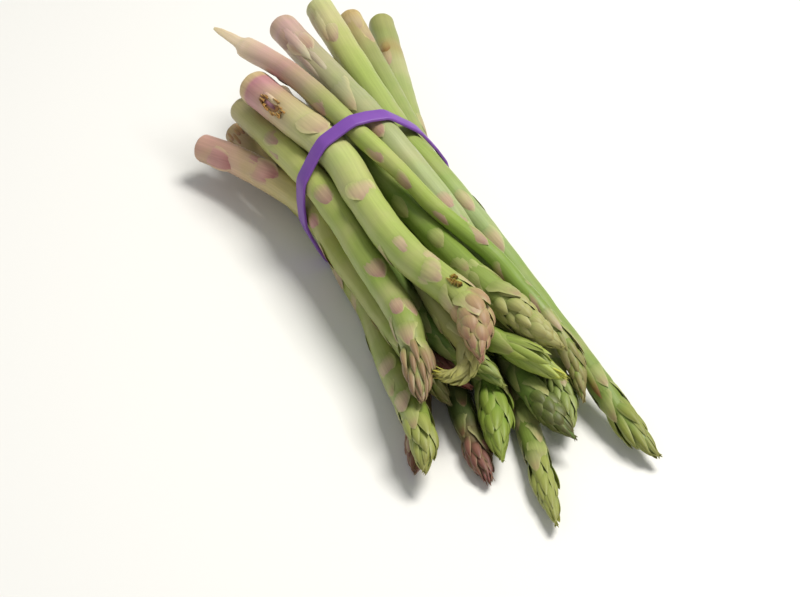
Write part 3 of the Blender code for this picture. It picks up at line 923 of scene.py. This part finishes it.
# %% Scales
PALE_RIM = np.array(linear("#C2BE84"))
MIDDLE_OF_FLAP = 0.55  # share of its length where the surface ahead of a flap is looked up
STEEPEST = -0.5  # radians that a head's slope may turn a flap inwards
LEAST_REACH = 0.9 * MM  # half width of the narrowest flap
LOOSE_ON_STEM, LOOSE_IN_HEAD = 0.04, 0.12  # radians of random roll


class Scales:
    """Points for the scales of one spear, sorted by the kind of flap."""

    def __init__(self, look, route):
        self.look, self.route, self.rows = look, route, {}

    def add(self, kind, mm, clock, long_mm, colours, wide=1.0, lift=0.0, rim=0.6, seat=1.0,
            rim_colour=None, fade=0.0):
        """seat: how far out its base lies, as a share of the stem's radius; lift in degrees;
        fade: how much of the stem's own colour its body takes. A scale on the stem points
        along the bent surface, and one on the head follows the head's slope."""
        route = self.route
        middle, along, up, side, radius = route.at(mm)
        angle = math.radians(clock)
        out = math.cos(angle) * up + math.sin(angle) * side
        run = MIDDLE_OF_FLAP * long_mm
        ahead = float(np.interp(mm + run, route.mm, route.radii))
        slope = max(math.atan2(ahead - radius, run * MM), STEEPEST) + math.radians(lift)
        base = middle + out * radius * seat
        if kind in ("flush", "neck"):
            further, _, up, side, ahead = route.at(mm + run)
            surface = further + (math.cos(angle) * up + math.sin(angle) * side) * ahead
            along = surface - (middle + out * radius)
            along = along / np.linalg.norm(along)
            out = out - along * float(out @ along)
            out, slope = out / np.linalg.norm(out), math.radians(lift)
        forward = math.cos(slope) * along + math.sin(slope) * out
        away = math.cos(slope) * out - math.sin(slope) * along
        reach = max(0.5 * (radius + ahead), LEAST_REACH)
        own = skin_colours(self.look, mm)
        colours = [np.array(linear(c) if isinstance(c, str) else c) for c in colours]
        pale = np.minimum(0.5 * PALE_RIM + 0.6 * own, 1.0)
        rim_colour = linear(rim_colour) if rim_colour else pale
        self.rows.setdefault(kind, []).append(
            (base, forward, away, (reach * wide, long_mm * MM, reach),
             own, own * fade + (1 - fade) * colours[0], colours[1], rim_colour, rim))

    def objects(self, name, seed):
        made = []
        for kind, rows in sorted(self.rows.items()):
            columns = [np.array(column) for column in zip(*rows)]
            obj = mesh_object(f"{name}_{kind}", columns[0])
            for label, values in zip(("toward_tip", "away", "size"), columns[1:4]):
                note(obj.data, label, "FLOAT_VECTOR", values)
            for label, values in zip(("base_tint", "tint", "tip_tint", "rim_tint"), columns[4:8]):
                note(obj.data, label, "FLOAT_COLOR", values)
            note(obj.data, "rim", "FLOAT", columns[8])
            roll = LOOSE_ON_STEM if kind in ("flush", "neck") else LOOSE_IN_HEAD
            made.append(grown(obj, scale_tree, {
                "Flap": flap_shapes[kind], "Roll": roll, "Lift": 0.3 * roll, "Seed": seed,
                "Finish": scale_skin}))
        return made


print("a scale in a head rolls by up to", round(math.degrees(LOOSE_IN_HEAD), 1), "degrees")


# %% Stem, neck and head scales
def add_stem_scales(scales, route, places, number):
    chance = np.random.default_rng(300 + number)
    for mm, clock in places:
        left = 1 - mm / route.length
        long_mm = (10.5 + 4.5 * min(1.0, left * 1.6)) * chance.uniform(0.85, 1.15)
        scales.add("flush", max(mm - 0.5, 0.8), clock, long_mm, scales.look["scales"],
                   wide=chance.uniform(0.85, 1.2), rim=chance.uniform(0.6, 1.0),
                   fade=chance.uniform(0.0, 0.3))


def add_neck_scales(scales, route, head_mm, number):
    """The wide overlapping scales on the last 22 mm below the head and its first 4 mm."""
    mm, turn = route.length - head_mm - 22, 65.0 * number
    while mm < route.length - head_mm + 4:
        scales.add("neck", mm, turn, 12.5, scales.look["neck"], rim=0.8, fade=0.35)
        turn += GOLDEN_ANGLE
        mm += 4.2


def add_head(scales, route, head_mm, number):
    """The head's scales, along nine tenths of it; each is shorter than what is left of it."""
    kind, end_kind, count, long_mm, lift, body, tip = scales.look["head"]
    chance = np.random.default_rng(100 + number)
    for k in range(count):
        share = k / (count - 1)
        mm = route.length - head_mm * (1.0 - 0.90 * share**0.9)
        size = long_mm * (1.0 - 0.35 * share) * chance.uniform(0.88, 1.12)
        size = min(size, (route.length - mm) * 1.04 + 1.0)
        turn = 77.0 * number + GOLDEN_ANGLE * k + chance.uniform(-10, 10)
        base, end = np.array(linear(body)), np.array(linear(tip))
        pair = [base + (end - base) * part for part in (0.5 * share**2, 0.25 + 0.75 * share)]
        scales.add(kind if share < 0.6 else end_kind, mm, turn, size, pair,
                   wide=chance.uniform(0.9, 1.12), lift=lift * (1 - 0.6 * share), rim=0.4,
                   seat=0.80 - 0.06 * share)


def add_frayed_end(scales, route, name):
    """Thin dry threads that spread from the very tip."""
    if name not in FRAYED:
        return
    colour, count, long_mm, spread = FRAYED[name]
    for k in range(count):
        scales.add("thread", route.length - 4.0 - 0.25 * k, GOLDEN_ANGLE * k, long_mm,
                   (colour, colour), wide=1.6, lift=spread + 3 * (k % 3), rim=0.2, seat=0.6)


print("threads:", {name: row[1] for name, row in FRAYED.items()})


# %% Grow every spear
def joined(name, objects):
    with bpy.context.temp_override(active_object=objects[0], selected_editable_objects=objects,
                                   selected_objects=objects):
        bpy.ops.object.join()
    objects[0].name = name
    objects[0].data.name = name
    return objects[0]


triangles = 0
for name, look in looks.items():
    number = int(name[-2:])
    route, head_mm = routes[name], HEAD_MM[number]
    places = stem_scale_places(look, route, head_mm, number)
    stem = stem_object(name + "_stem", look, route, head_mm, places)
    scales = Scales(look, route)
    add_stem_scales(scales, route, places, number)
    for *row, more in EXTRAS.get(name, []):
        scales.add(*row, **more)
    add_neck_scales(scales, route, head_mm, number)
    add_head(scales, route, head_mm, number)
    add_frayed_end(scales, route, name)
    spear = joined(name + "_grown", [stem] + scales.objects(name, number))
    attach(spear, "root")
    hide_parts(name)
    triangles += sum(len(face.vertices) - 2 for face in spear.data.polygons)
print("19 spears,", triangles, "triangles")

for shape in flap_shapes.values():
    bpy.data.objects.remove(shape)

# %% [markdown]
# ## The rubber band
#
# Produce is bunched with flat bands of dyed rubber, cut from a tube: 6 mm wide, 1 mm thick,
# with slightly rounded edges and a dull satin surface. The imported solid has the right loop, so
# a merged copy of it gets rounded edges and a finish.

# %% Rubber
rubber, tree, _ = start_material("dyed_rubber_satin")
place = add_node(tree, "ShaderNodeTexCoord").outputs["Object"]
cloud = add_node(tree, "ShaderNodeTexNoise", {"Vector": place, "Scale": 160.0, "Detail": 3.0})
grain = add_node(tree, "ShaderNodeTexNoise", {"Vector": place, "Scale": 2200.0, "Detail": 2.0})
dye = add_node(tree, "ShaderNodeMix", {0: cloud, 6: linear("#6A3C9A"), 7: linear("#8350A8")},
               data_type="RGBA")
bump = add_node(tree, "ShaderNodeBump", {"Height": grain, "Strength": 0.25, "Distance": 0.05 * MM})
finish_material(tree, {"Base Color": dye.outputs[2], "Roughness": 0.48, "IOR": 1.52,
                       "Normal": bump})

EDGE_ROUNDING = 0.3 * MM
SHARP_TURN = 1.0  # radians between two faces at an edge of the strip

points, triangles_of_band = merged(frame["nodes"]["rubber_band"])
band = mesh_object("rubber_band_soft", points, faces=triangles_of_band)
loop = bmesh.new()
loop.from_mesh(band.data)
bmesh.ops.join_triangles(loop, faces=loop.faces, angle_face_threshold=0.05,
                         angle_shape_threshold=0.7)
sharp = [e for e in loop.edges if len(e.link_faces) == 2 and e.calc_face_angle() > SHARP_TURN]
bmesh.ops.bevel(loop, geom=sharp, offset=EDGE_ROUNDING, segments=3, profile=0.5, affect="EDGES")
for face in loop.faces:
    face.smooth = True
bmesh.ops.recalc_face_normals(loop, faces=loop.faces)
loop.to_mesh(band.data)
loop.free()
band.data.materials.append(rubber)
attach(band, "root")
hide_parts("rubber_band")
print("band:", len(band.data.polygons), "faces")
